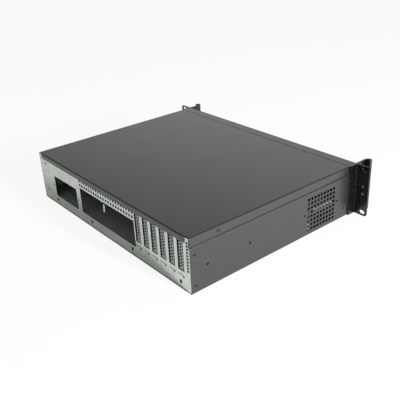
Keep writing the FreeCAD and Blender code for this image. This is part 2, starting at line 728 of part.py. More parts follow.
def make_front_frame():
    """Folded steel front: fixed top strip, upright plate and flanges inside the tray."""
    path = [(FRAME_Y + FRONT_STRIP, CASE_H), (FRAME_Y, CASE_H), (FRAME_Y, FLOOR_Z + FIT),
            (FRAME_Y + FLOOR_FLANGE, FLOOR_Z + FIT)]
    core = INNER_W - SHEET
    parts = [folded(path, along_x(-core), vec(2 * core, 0, 0))]
    for x0 in (-HALF_W, core - 1):
        parts.append(folded(path[:3], along_x(x0), vec(HALF_W - core + 1, 0, 0)))
    low = FLOOR_Z + SHEET * 2
    high = SEAM_Z - SHEET * 2
    wing = box(-INNER_W, -INNER_W + SHEET, FRAME_Y, FRAME_Y + FLOOR_FLANGE, low, high)
    parts += both_sides(wing)
    start = vec(-HALF_W, FACE_Y + EAR_SCREW_Y, EAR_SCREW_Z)
    ear_screw = prism(SCREW_R, start, RIGHTWARD, SHEET * 4, SIDES)
    return cut(fuse(parts), front_frame_holes() + both_sides(ear_screw))


def make_front_panel():
    """Front plate between the ears, with two fields of upright vent slots."""
    x1 = HALF_W - EDGE_GAP
    plate = box(-x1, x1, FACE_Y, FRAME_Y, EDGE_GAP, CASE_H - EDGE_GAP)
    rim = [e for e in plate.Edges if e.Length > CASE_H * 2 and e.CenterOfMass.y < FACE_Y + 0.1]
    plate = plate.makeChamfer(PLATE_CHAMFER, rim)
    y0, y1 = FACE_Y - 1, FRAME_Y + 1
    half = FIELD_SLOT_W / 2.0
    tools = []
    for centre in SLOT_FIELD_X:
        for x in spread(FIELD_SLOTS, FIELD_PITCH, centre):
            tools.append(box(x - half, x + half, y0, y1, FIELD_MARGIN, CASE_H - FIELD_MARGIN))
    return cut(plate, tools + control_holes(y0, y1))


def make_ear_bracket():
    """Left rack ear: leg along the case side and a slotted flange."""
    outer_x = -RACK_W / 2.0
    path = [(outer_x, FACE_Y), (-HALF_W, FACE_Y), (-HALF_W, FACE_Y + EAR_LEG)]
    body = folded(path, lambda a, b: vec(a, b, 0), vec(0, 0, CASE_H), EAR_T, EAR_BEND)
    ends = [e for e in body.Edges if abs(e.CenterOfMass.x - outer_x) < 0.01]
    body = body.makeFillet(EAR_CORNER, [e for e in ends if abs(e.Length - EAR_T) < 0.01])
    y0, y1 = FACE_Y - 1, EAR_BACK_Y + 1
    tools = []
    for z in spread(2, CASE_H - 2 * RACK_HOLE_MARGIN, MID_Z):
        tools.append(slotted_hole(-RACK_X, z, RACK_SLOT_L, RACK_SLOT_H, y0, y1))
    for z in FOOT_SCREW_Z:
        tools.append(drill_y(-HALF_W - FOOT_SCREW_INSET, z, SCREW_R + SCREW_CLEAR, y0, y1, SIDES))
    face = -HALF_W - EAR_T
    seat = vec(face, FACE_Y + EAR_SCREW_Y, EAR_SCREW_Z)
    tools.append(flat_screw_hole(seat, RIGHTWARD * -1.0, EAR_T * 2))
    y, z = FACE_Y + EAR_WINDOW_Y, CASE_H - EAR_WINDOW_DROP
    half_y, half_z = EAR_WINDOW[0] / 2.0, EAR_WINDOW[1] / 2.0
    tools.append(box(face - 1, -HALF_W + 1, y - half_y, y + half_y, z - half_z, z + half_z))
    return cut(body, tools)


def make_handle():
    """Left handle: a deep hooked grip with a screw foot at mid-height."""
    inner = -HALF_W + HANDLE_INSET
    front = FACE_Y - HANDLE_REACH
    outer = inner - HANDLE_W
    corners = [
        (vec(inner, FACE_Y, 0), 0.0),
        (vec(inner, front, 0), HANDLE_R),
        (vec(outer, front, 0), HANDLE_LIP_R),
        (vec(outer + HANDLE_EASE, front + HANDLE_LIP, 0), 0.0),
        (vec(outer + HANDLE_T - HANDLE_EASE, front + HANDLE_LIP, 0), 0.0),
        (vec(outer + HANDLE_T, front + HANDLE_T, 0), HANDLE_EASE),
        (vec(inner - HANDLE_T, front + HANDLE_T, 0), HANDLE_R - HANDLE_T),
        (vec(inner - HANDLE_T, FACE_Y, 0), 0.0),
    ]
    grip = rounded_face(corners).extrude(vec(0, 0, CASE_H))
    low, high = MID_Z + FOOT_RISE[0], MID_Z + FOOT_RISE[1]
    foot = box(inner - HANDLE_T - FOOT_W, inner - HANDLE_T + 1, FACE_Y - HANDLE_T, FACE_Y, low, high)
    ends = [e for e in foot.Edges if abs(e.CenterOfMass.x - foot.BoundBox.XMin) < 0.01]
    foot = foot.makeFillet(FOOT_CORNER, [e for e in ends if e.Length < HANDLE_T + 0.1])
    x = -HALF_W - FOOT_SCREW_INSET
    tools = [drill_y(x, z, SCREW_R, FACE_Y - HANDLE_T - 1, FACE_Y + 1, SIDES) for z in FOOT_SCREW_Z]
    return cut(fuse([grip, foot]), tools)


def make_handle_screws():
    length = EAR_T + HANDLE_T - FIT * 4
    screws = []
    for z in FOOT_SCREW_Z:
        seat = vec(-HALF_W - FOOT_SCREW_INSET, EAR_BACK_Y, z)
        screws += both_sides(pan_screw(seat, REARWARD, length, sides=SIDES))
    return screws


def make_ear_screws():
    face = vec(-HALF_W - EAR_T, FACE_Y + EAR_SCREW_Y, EAR_SCREW_Z)
    return both_sides(flat_screw(face, RIGHTWARD * -1.0, EAR_T + SHEET * 3.5))


def make_cover_screws():
    seat = vec(-HALF_W, COVER_SCREW_Y, COVER_SCREW_Z)
    screw = pan_screw(seat, RIGHTWARD * -1.0, SHEET * 4.5, height=COVER_SCREW_H, sides=SIDES)
    return both_sides(screw)


def make_side_rivets():
    rivets = []
    for z in RIVET_HEIGHTS:
        rivets += both_sides(rivet(vec(-HALF_W, RIVET_Y, z), RIGHTWARD, SHEET * 2 + FIT))
    return rivets


def make_tray_screws():
    return [flat_screw(vec(x, WALL_Y, TRAY_SCREW_Z), REARWARD, SHEET * 5) for x in tray_screw_places()]


def make_board_tray():
    """Raised inner floor with the main board's threaded holes; also carries the power supply."""
    wide = [(TRAY_HALF, FLOOR_Z), (TRAY_HALF, TRAY_TOP), (-TRAY_HALF, TRAY_TOP), (-TRAY_HALF, FLOOR_Z)]
    back = WALL_IN_Y - FIT
    end = back - SHEET - FLOOR_FLANGE
    body = folded(wide, along_y(TRAY_FRONT), vec(0, end - TRAY_FRONT, 0), facets=FACETS)
    inset = TRAY_HALF - SHEET * 8
    rear = [(back, TRAY_SCREW_Z - TRAY_FLANGE_DROP), (back, TRAY_TOP), (end - 1, TRAY_TOP)]
    parts = [body, folded(rear, along_x(-inset), vec(2 * inset, 0, 0), facets=FACETS)]
    tools = []
    for x in tray_screw_places():
        tools.append(flat_screw_hole(vec(x, WALL_Y, TRAY_SCREW_Z), REARWARD, SHEET * 4, 0.0))
    for x, y in stop_screw_places():
        tools.append(drill_z(x, y, SCREW_R, TRAY_TOP - 3, TRAY_TOP + 1))
    for x, y in board_hole_places():
        if is_board_corner(x, y):
            tools.append(cylinder(BOARD_HOLE_R, vec(x, y, TRAY_TOP - 3), UP, 4))
        else:
            tools.append(drill_z(x, y, BOARD_HOLE_R, TRAY_TOP - 3, TRAY_TOP + 1))
    return cut(fuse(parts), tools)


def make_psu_stop():
    """Angle on the raised floor that a power supply's front end rests against."""
    y = stop_face_y()
    path = [(y - STOP_T - STOP_FOOT, TRAY_TOP), (y, TRAY_TOP), (y, TRAY_TOP + STOP_H)]
    half = PSU_W / 2.0
    body = folded(path, along_x(PSU_X - half), vec(PSU_W, 0, 0), STOP_T, facets=FACETS)
    tools = []
    for x, py in stop_screw_places():
        tools.append(drill_z(x, py, SCREW_R + SCREW_CLEAR, TRAY_TOP - 1, TRAY_TOP + 3))
    beside, below, above = STOP_WINDOW
    tools.append(window(PSU_X - half + beside, PSU_X + half - beside, TRAY_TOP + below,
                        TRAY_TOP + STOP_H - above, y - STOP_T - 1, y + 1, OPENING_R * 2))
    return cut(body, tools)


def make_stop_screws():
    top = TRAY_TOP + STOP_T
    return [pan_screw(vec(x, y, top), UP, STOP_T + SHEET * 2.5) for x, y in stop_screw_places()]


def make_drive_shelf():
    """Raised shelf for a drive, with folded legs and short side rims."""
    x0, x1 = SHELF_X
    y0, y1 = SHELF_Y
    legs = [(y1 - SHELF_FOOT, FLOOR_Z), (y1, FLOOR_Z), (y1, SHELF_TOP), (y0, SHELF_TOP), (y0, FLOOR_Z),
            (y0 + SHELF_FOOT, FLOOR_Z)]
    length = x1 - x0 - 2 * SHELF_MARGIN
    parts = [folded(legs, along_x(x0 + SHELF_MARGIN), vec(length, 0, 0), facets=FACETS)]
    rim = [(x0, SHELF_TOP + SHELF_RIM), (x0, SHELF_TOP - SHEET), (x1, SHELF_TOP - SHEET),
           (x1, SHELF_TOP + SHELF_RIM)]
    start = y1 - SHELF_MARGIN - SHELF_RIM_LENGTH
    parts.append(folded(rim, along_y(start), vec(0, SHELF_RIM_LENGTH, 0), facets=FACETS))
    tools = []
    for x, y in shelf_screw_places():
        tools.append(drill_z(x, y, SCREW_R + SCREW_CLEAR, 0, FLOOR_Z + SHEET + 1))
    half_x, half_y = SHELF_SLOT[0] / 2.0, SHELF_SLOT[1] / 2.0
    mid_x, mid_y = (x0 + x1) / 2.0, (y0 + y1) / 2.0
    tools.append(box(mid_x - half_x, mid_x + half_x, mid_y - half_y, mid_y + half_y,
                     SHELF_TOP - 3, SHELF_TOP + 1))
    return cut(fuse(parts), tools)


def make_shelf_screws():
    seat = FLOOR_Z + SHEET
    return [pan_screw(vec(x, y, seat), UP, seat - FIT * 2) for x, y in shelf_screw_places()]


def make_button(z, radius, stroke, stem, sides):
    """Push button: proud cap, retaining flange behind the frame and a stem."""
    start = FACE_Y - BUTTON_PROUD
    flange_y = FRAME_BACK_Y
    rear_y = flange_y + BUTTON_FLANGE_T
    shoulder = start + BUTTON_CHAMFER
    nose = frustum(radius - BUTTON_CHAMFER, radius, vec(CONTROL_X, start, z), REARWARD, BUTTON_CHAMFER, sides)
    cap = drill_y(CONTROL_X, z, radius, shoulder, rear_y, sides)
    flange = drill_y(CONTROL_X, z, radius + BUTTON_FLANGE, flange_y, rear_y, sides)
    tip = BOARD_FACE_Y - SWITCH_WELL - FIT * 2 - stroke
    pin = drill_y(CONTROL_X, z, stem, rear_y - FIT, tip)
    return fuse([nose, cap, flange, pin])


def make_switch(z, half, stem):
    """Switch body on the control board, with a well for the button's stem."""
    front = BOARD_FACE_Y - SWITCH_DEPTH
    body = box(CONTROL_X - half, CONTROL_X + half, front, BOARD_FACE_Y, z - half, z + half)
    return body.cut(drill_y(CONTROL_X, z, stem + BUTTON_GAP, front - 1, BOARD_FACE_Y - SWITCH_WELL))


def make_light_pipes():
    """Two light pipes from the control board through the front."""
    pipes = []
    for x in PIPE_X:
        start = vec(CONTROL_X + x, FACE_Y - PIPE_PROUD, PIPE_Z)
        tip = frustum(PIPE_R - PIPE_PROUD, PIPE_R, start, REARWARD, PIPE_PROUD, SIDES)
        pipes.append(fuse([tip, drill_y(CONTROL_X + x, PIPE_Z, PIPE_R, FACE_Y, BOARD_FACE_Y, SIDES)]))
    return pipes


def usb_box(z, shrink, y0, y1):
    half_w = USB_W / 2.0 - shrink
    half_h = USB_H / 2.0 - shrink
    return box(CONTROL_X - half_w, CONTROL_X + half_w, y0, y1, z - half_h, z + half_h)


def make_usb_shells():
    shells = []
    start = BOARD_FACE_Y - USB_LENGTH
    for z in USB_Z:
        shell = usb_box(z, 0.0, start, BOARD_FACE_Y)
        shells.append(shell.cut(usb_box(z, USB_WALL, start - 1, start + USB_DEPTH)))
    return shells


def make_usb_tongues():
    start = BOARD_FACE_Y - USB_LENGTH
    half = USB_TONGUE[0] / 2.0
    tongues = []
    for z in USB_Z:
        low = z + FIT * 2
        tongues.append(box(CONTROL_X - half, CONTROL_X + half, start + USB_TONGUE[1], start + USB_DEPTH,
                           low, low + USB_TONGUE[1]))
    return tongues


def make_control_board():
    half = BOARD_W / 2.0
    plate = box(CONTROL_X - half, CONTROL_X + half, BOARD_FACE_Y, BOARD_FACE_Y + BOARD_T, *BOARD_Z)
    return cut(plate, [drill_y(x, z, SCREW_R, BOARD_FACE_Y - 1, BOARD_FACE_Y + 3) for x, z in post_places()])


def make_board_posts():
    """Hexagonal pillars between the front frame and the control board."""
    radius = POST_AF / math.sqrt(3.0)
    places = post_places()
    return [prism(radius, vec(x, FRAME_BACK_Y, z), REARWARD, BOARD_SETBACK, 6) for x, z in places]


def make_board_screws():
    seat_y = BOARD_FACE_Y + BOARD_T
    return [pan_screw(vec(x, seat_y, z), REARWARD, BOARD_T, POST_HEAD_R) for x, z in post_places()]


def export(name, shapes):
    solids = shapes if isinstance(shapes, list) else [shapes]
    shape = Part.makeCompound(solids) if len(solids) > 1 else solids[0]
    print(name, "solids", len(shape.Solids), "valid", shape.isValid(), "volume", round(shape.Volume, 1))
    shape.exportStep("parts/" + name + ".step")


def main():
    ear = make_ear_bracket()
    handle = make_handle()
    export("base_tray", make_base_tray())
    export("rear_panel", make_rear_panel())
    export("top_cover", make_top_cover())
    export("front_frame", make_front_frame())
    export("front_panel", make_front_panel())
    export("ear_bracket_left", ear)
    export("ear_bracket_right", mirrored(ear))
    export("handle_left", handle)
    export("handle_right", mirrored(handle))
    export("board_tray", make_board_tray())
    for number, x in enumerate(slot_centres(), 1):
        export("slot_cover_%d" % number, make_slot_cover(x))
    export("slot_rail", make_slot_rail())
    export("slot_screws", make_slot_screws())
    export("wire_finger", make_wire_finger())
    export("cover_screws", make_cover_screws())
    export("side_rivets", make_side_rivets())
    export("tray_screws", make_tray_screws())
    export("ear_screws", make_ear_screws())
    export("handle_screws", make_handle_screws())
    export("drive_shelf", make_drive_shelf())
    export("shelf_screws", make_shelf_screws())
    export("psu_stop", make_psu_stop())
    export("stop_screws", make_stop_screws())
    export("power_button", make_button(POWER_Z, POWER_R, POWER_STROKE, STEM_R[0], BUTTON_SIDES[0]))
    export("reset_button", make_button(RESET_Z, RESET_R, RESET_STROKE, STEM_R[1], BUTTON_SIDES[1]))
    export("power_switch", make_switch(POWER_Z, SWITCH_HALF[0], STEM_R[0]))
    export("reset_switch", make_switch(RESET_Z, SWITCH_HALF[1], STEM_R[1]))
    export("light_pipes", make_light_pipes())
    export("usb_shells", make_usb_shells())
    export("usb_tongues", make_usb_tongues())
    export("control_board", make_control_board())
    export("board_posts", make_board_posts())
    export("board_screws", make_board_screws())


main()
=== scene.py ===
"""Finishes, studio and camera for a short-depth two-unit rackmount case, empty.

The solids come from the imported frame. Every sub-assembly is a class that dresses its own nodes,
and every finish is a frozen dataclass that builds one procedural material.
"""

import logging
import math
from dataclasses import dataclass
from enum import Enum
from functools import cache
from typing import Any, Optional

import bpy
from mathutils import Matrix, Vector


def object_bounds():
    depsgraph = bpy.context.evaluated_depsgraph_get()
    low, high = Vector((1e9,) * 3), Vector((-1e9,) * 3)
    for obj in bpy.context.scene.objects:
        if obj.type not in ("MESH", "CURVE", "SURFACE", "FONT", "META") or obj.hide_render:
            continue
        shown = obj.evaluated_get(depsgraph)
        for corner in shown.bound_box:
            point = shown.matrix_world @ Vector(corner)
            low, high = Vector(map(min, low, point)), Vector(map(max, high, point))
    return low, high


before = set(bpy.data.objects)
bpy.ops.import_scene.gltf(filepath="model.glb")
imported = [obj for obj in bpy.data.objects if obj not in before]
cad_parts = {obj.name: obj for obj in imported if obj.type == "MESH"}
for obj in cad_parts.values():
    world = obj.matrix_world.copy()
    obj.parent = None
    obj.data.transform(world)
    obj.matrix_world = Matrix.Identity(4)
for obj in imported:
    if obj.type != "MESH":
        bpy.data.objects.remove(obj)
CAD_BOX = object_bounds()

Tree = bpy.types.NodeTree
Node = bpy.types.Node
Socket = bpy.types.NodeSocket
Rgba = tuple[float, float, float, float]

LOG = logging.getLogger("rack_case")
MM = 0.001
UP = Vector((0.0, 0.0, 1.0))
WHITE: Rgba = (1.0, 1.0, 1.0, 1.0)

METAL_SHARE = 0.5       # from this metallic share on, the shader keeps its default IOR
NOISE_SPAN = (0.3, 0.7)  # nearly all values of a noise texture lie in here
SOFT_DETAIL = 2.0       # octaves of a soft, cloudy noise
GRAIN_DETAIL = 3.0      # octaves of a leathery one
FINE_DETAIL = 4.0       # octaves of a gritty one
EDGE_SAMPLES = 6        # rays that round an edge


def linear(colour: str) -> Rgba:
    """Turn an sRGB hex colour into linear RGBA.

    Args:
        colour: six hex digits, such as "#8a8d8a".

    Returns:
        Linear red, green, blue and an alpha of one.
    """
    channels = [int(colour[i:i + 2], 16) / 255.0 for i in (1, 3, 5)]
    values = [c / 12.92 if c <= 0.04045 else ((c + 0.055) / 1.055) ** 2.4 for c in channels]
    return (values[0], values[1], values[2], 1.0)


def shades(colour: str, spread: float) -> tuple[Rgba, Rgba]:
    """Give a darker and a lighter shade of one colour.

    Args:
        colour: the sRGB hex colour that lies between them.
        spread: how far each shade lies from it, as a share of it.

    Returns:
        The darker and the lighter shade, both linear.
    """
    red, green, blue, alpha = linear(colour)
    darker = tuple(c * (1.0 - spread) for c in (red, green, blue)) + (alpha,)
    lighter = tuple(min(1.0, c * (1.0 + spread)) for c in (red, green, blue)) + (alpha,)
    return darker, lighter


def scale_for(size_mm: float) -> float:
    """Give the texture scale at which one cell has a real size.

    Args:
        size_mm: the cell's size in millimetres.

    Returns:
        The scale, in cells per metre.
    """
    return 1.0 / (size_mm * MM)


def add_node(
    tree: Tree,
    kind: str,
    values: Optional[dict[Any, Any]] = None,
    links: Optional[dict[Any, Socket]] = None,
    **settings: Any,
) -> Node:
    """Add one node with its settings, socket values and incoming links.

    Args:
        tree: the node tree that gets the node.
        kind: Blender's type name of the node.
        values: socket name or index to constant value.
        links: socket name or index to the output that feeds it.
        **settings: attributes of the node, such as operation.

    Returns:
        The new node.
    """
    node = tree.nodes.new(kind)
    for key, value in settings.items():
        setattr(node, key, value)
    for key, value in (values or {}).items():
        node.inputs[key].default_value = value
    for key, source in (links or {}).items():
        tree.links.new(source, node.inputs[key])
    return node


@dataclass(frozen=True)
class Finish:
    """A surface: what the material is and how it was finished."""

    name: str
    colour: str
    roughness: float
    metallic: float = 0.0
    ior: float = 1.5

    @cache
    def material(self) -> bpy.types.Material:
        """Build the material once and return it.

        Returns:
            The material that carries this finish's name.
        """
        made = bpy.data.materials.new(self.name)
        made.use_nodes = True
        made.diffuse_color = linear(self.colour)
        place = add_node(made.node_tree, "ShaderNodeTexCoord").outputs["Object"]
        self.paint(made.node_tree, made.node_tree.nodes["Principled BSDF"], place)
        return made

    def paint(self, tree: Tree, shader: Node, place: Socket) -> None:
        """Set the shader's constant values and add the pattern.

        Args:
            tree: the material's node tree.
            shader: its principled shader.
            place: object coordinates in metres.
        """
        shader.inputs["Base Color"].default_value = linear(self.colour)
        shader.inputs["Roughness"].default_value = self.roughness
        shader.inputs["Metallic"].default_value = self.metallic
        if self.metallic < METAL_SHARE:
            shader.inputs["IOR"].default_value = self.ior
        self.texture(tree, shader, place)

    def texture(self, tree: Tree, shader: Node, place: Socket) -> None:
        """Add the finish's own pattern; the plain finish has none.

        Args:
            tree: the material's node tree.
            shader: its principled shader.
            place: object coordinates in metres.
        """


@dataclass(frozen=True)
class PowderCoat(Finish):
    """Steel with a baked powder coat: an even satin film with a fine leathery grain."""

    grain_mm: float = 0.9        # the real grain is 0.3 mm, drawn three times as coarse so that it shows
    relief_mm: float = 0.005
    relief_share: float = 0.5
    mottle: float = 0.03         # how far the grain shifts the colour
    cloud_mm: float = 60.0       # size of the patches in which the gloss drifts
    haze: float = 0.012          # how far it drifts
    edge_mm: float = 0.5         # radius at which the film rounds an edge
    painted_light_past_mm: float = 0.0    # faces that look to -X beyond this X get a pale painted-light colour in place of the coat; 0 gives it to none
    # the pale colour painted on that inner face, as painted light that lightens the interior
    painted_light_colour: str = "#c6dcd9"
    inward: float = -0.5         # a face looks to -X when its normal's X is below this

    def texture(self, tree: Tree, shader: Node, place: Socket) -> None:
        """Give the film its grain, a faint mottle and uneven gloss.

        Args:
            tree: the material's node tree.
            shader: its principled shader.
            place: object coordinates in metres.
        """
        grain = add_node(tree, "ShaderNodeTexNoise",
                         {"Scale": scale_for(self.grain_mm), "Detail": GRAIN_DETAIL}, {"Vector": place})
        cloud = add_node(tree, "ShaderNodeTexNoise",
                         {"Scale": scale_for(self.cloud_mm), "Detail": SOFT_DETAIL}, {"Vector": place})
        darker, lighter = shades(self.colour, self.mottle)
        tint = add_node(tree, "ShaderNodeMix", {6: darker, 7: lighter}, {0: grain.outputs["Fac"]},
                        data_type="RGBA")
        film = tint.outputs[2]
        if self.painted_light_past_mm > 0.0:
            film = self.paint_light_inside(tree, place, film)
        tree.links.new(film, shader.inputs["Base Color"])
        gloss = add_node(tree, "ShaderNodeMapRange",
                         {"From Min": NOISE_SPAN[0], "From Max": NOISE_SPAN[1],
                          "To Min": self.roughness - self.haze, "To Max": self.roughness + self.haze},
                         {"Value": cloud.outputs["Fac"]})
        tree.links.new(gloss.outputs["Result"], shader.inputs["Roughness"])
        edge = add_node(tree, "ShaderNodeBevel", {"Radius": self.edge_mm * MM}, samples=EDGE_SAMPLES)
        bump = add_node(tree, "ShaderNodeBump",
                        {"Strength": self.relief_share, "Distance": self.relief_mm * MM},
                        {"Height": grain.outputs["Fac"], "Normal": edge.outputs["Normal"]})
        tree.links.new(bump.outputs["Normal"], shader.inputs["Normal"])

    def paint_light_inside(self, tree: Tree, place: Socket, film: Socket) -> Socket:
        """Paint a pale zinc colour on the far side wall's inner face, as painted light that lightens the
        interior; every other inner face keeps the coat.

        Args:
            tree: the material's node tree.
            place: object coordinates in metres.
            film: the coat's colour.

        Returns:
            The colour of the coat and of the pale painted-light face together.
        """
        # painted light: faces beyond the given X that look to -X get the pale colour in place of the coat
        spot = add_node(tree, "ShaderNodeSeparateXYZ", None, {0: place})
        past = add_node(tree, "ShaderNodeMath", {1: self.painted_light_past_mm * MM}, {0: spot.outputs["X"]},
                        operation="GREATER_THAN")
        normal = add_node(tree, "ShaderNodeNewGeometry").outputs["True Normal"]
        facing = add_node(tree, "ShaderNodeSeparateXYZ", None, {0: normal})
        turned = add_node(tree, "ShaderNodeMath", {1: self.inward}, {0: facing.outputs["X"]},
                          operation="LESS_THAN")
        inside = add_node(tree, "ShaderNodeMath", None, {0: past.outputs[0], 1: turned.outputs[0]},
                          operation="MULTIPLY")
        both = add_node(tree, "ShaderNodeMix", {7: linear(self.painted_light_colour)}, {0: inside.outputs[0], 6: film},
                        data_type="RGBA")
        return both.outputs[2]


@dataclass(frozen=True)
class GalvanisedSheet(Finish):
    """Hot-dipped sheet: zinc with a faint crystal spangle, and a darker painted shade on the faces across
    it.
    """

    spangle_mm: float = 7.0
    contrast: float = 0.07           # how far the crystals differ in colour
    gloss_drop: float = 0.06         # how far the glossiest and
    gloss_rise: float = 0.08         # the dullest crystals leave the roughness
    warp_mm: float = 4.0             # waves that break the crystals' straight borders
    warp_reach_mm: float = 1.5
    fine_mm: float = 1.2
    relief_mm: float = 0.02
    relief_share: float = 0.3
    painted_shade: str = "#141614"           # painted shade on faces that don't look along Y, such as the walls of punched holes and cut edges
    painted_shade_below: float = 0.3         # a face is one of them when its normal's Y is smaller than this

    def texture(self, tree: Tree, shader: Node, place: Socket) -> None:
        """Give the zinc its spangle in colour and gloss.

        Args:
            tree: the material's node tree.
            shader: its principled shader.
            place: object coordinates in metres.
        """
        warp = add_node(tree, "ShaderNodeTexNoise",
                        {"Scale": scale_for(self.warp_mm), "Detail": SOFT_DETAIL}, {"Vector": place})
        shift = add_node(tree, "ShaderNodeVectorMath", {1: (self.warp_reach_mm * MM,) * 3},
                         {0: warp.outputs["Color"]}, operation="MULTIPLY")
        bent = add_node(tree, "ShaderNodeVectorMath", None, {0: place, 1: shift.outputs[0]},
                        operation="ADD")
        crystal = add_node(tree, "ShaderNodeTexVoronoi", {"Scale": scale_for(self.spangle_mm)},
                           {"Vector": bent.outputs[0]})
        value = add_node(tree, "ShaderNodeSeparateColor", None, {"Color": crystal.outputs["Color"]})
        darker, lighter = shades(self.colour, self.contrast)
        zinc = add_node(tree, "ShaderNodeMix", {6: darker, 7: lighter}, {0: value.outputs["Red"]},
                        data_type="RGBA")
        # painted shade: faces whose normal doesn't look along Y get the darker colour in place of the zinc
        normal = add_node(tree, "ShaderNodeNewGeometry").outputs["True Normal"]
        facing = add_node(tree, "ShaderNodeSeparateXYZ", None, {0: normal})
        along = add_node(tree, "ShaderNodeMath", None, {0: facing.outputs["Y"]}, operation="ABSOLUTE")
        in_painted_shade = add_node(tree, "ShaderNodeMath", {1: self.painted_shade_below}, {0: along.outputs[0]},
                         operation="LESS_THAN")
        both = add_node(tree, "ShaderNodeMix", {7: linear(self.painted_shade)},
                        {0: in_painted_shade.outputs[0], 6: zinc.outputs[2]}, data_type="RGBA")
        tree.links.new(both.outputs[2], shader.inputs["Base Color"])
        gloss = add_node(tree, "ShaderNodeMapRange",
                         {"To Min": self.roughness - self.gloss_drop,
                          "To Max": self.roughness + self.gloss_rise}, {"Value": value.outputs["Green"]})
        tree.links.new(gloss.outputs["Result"], shader.inputs["Roughness"])
        fine = add_node(tree, "ShaderNodeTexNoise",
                        {"Scale": scale_for(self.fine_mm), "Detail": FINE_DETAIL}, {"Vector": place})
        bump = add_node(tree, "ShaderNodeBump",
                        {"Strength": self.relief_share, "Distance": self.relief_mm * MM},
                        {"Height": fine.outputs["Fac"]})
        tree.links.new(bump.outputs["Normal"], shader.inputs["Normal"])


@dataclass(frozen=True)
class TurnedMetal(Finish):
    """Small turned or headed metal parts: fine tool marks and slight tarnish."""

    mark_mm: float = 0.25
    gloss_drop: float = 0.05         # how far the marks lower and
    gloss_rise: float = 0.1          # raise the roughness
    relief_mm: float = 0.01
    relief_share: float = 0.2

    def texture(self, tree: Tree, shader: Node, place: Socket) -> None:
        """Give the metal fine marks and an uneven sheen.

        Args:
            tree: the material's node tree.
            shader: its principled shader.
            place: object coordinates in metres.
        """
        marks = add_node(tree, "ShaderNodeTexNoise",
                         {"Scale": scale_for(self.mark_mm), "Detail": SOFT_DETAIL}, {"Vector": place})
        gloss = add_node(tree, "ShaderNodeMapRange",
                         {"To Min": self.roughness - self.gloss_drop,
                          "To Max": self.roughness + self.gloss_rise}, {"Value": marks.outputs["Fac"]})
        tree.links.new(gloss.outputs["Result"], shader.inputs["Roughness"])
        bump = add_node(tree, "ShaderNodeBump",
                        {"Strength": self.relief_share, "Distance": self.relief_mm * MM},
                        {"Height": marks.outputs["Fac"]})
        tree.links.new(bump.outputs["Normal"], shader.inputs["Normal"])


@dataclass(frozen=True)
class MouldedPlastic(Finish):
    """Injection-moulded plastic with a spark-eroded grain."""

    grain_mm: float = 0.4
    relief_mm: float = 0.01
    relief_share: float = 0.25
    transmission: float = 0.0

    def texture(self, tree: Tree, shader: Node, place: Socket) -> None:
        """Give the plastic its grain.

        Args:
            tree: the material's node tree.
            shader: its principled shader.
            place: object coordinates in metres.
        """
        shader.inputs["Transmission Weight"].default_value = self.transmission
        grain = add_node(tree, "ShaderNodeTexNoise",
                         {"Scale": scale_for(self.grain_mm), "Detail": SOFT_DETAIL}, {"Vector": place})
        bump = add_node(tree, "ShaderNodeBump",
                        {"Strength": self.relief_share, "Distance": self.relief_mm * MM},
                        {"Height": grain.outputs["Fac"]})
        tree.links.new(bump.outputs["Normal"], shader.inputs["Normal"])


@dataclass(frozen=True)
class SolderMask(Finish):
    """Glass-epoxy board under green solder mask, with the weave just showing."""

    weave_mm: float = 0.6
    relief_mm: float = 0.02
    relief_share: float = 0.15

    def texture(self, tree: Tree, shader: Node, place: Socket) -> None:
        """Give the board its weave.

        Args:
            tree: the material's node tree.
            shader: its principled shader.
            place: object coordinates in metres.
        """
        weave = add_node(tree, "ShaderNodeTexChecker", {"Scale": scale_for(self.weave_mm)},
                         {"Vector": place})
        bump = add_node(tree, "ShaderNodeBump",
                        {"Strength": self.relief_share, "Distance": self.relief_mm * MM},
                        {"Height": weave.outputs["Fac"]})
        tree.links.new(bump.outputs["Normal"], shader.inputs["Normal"])


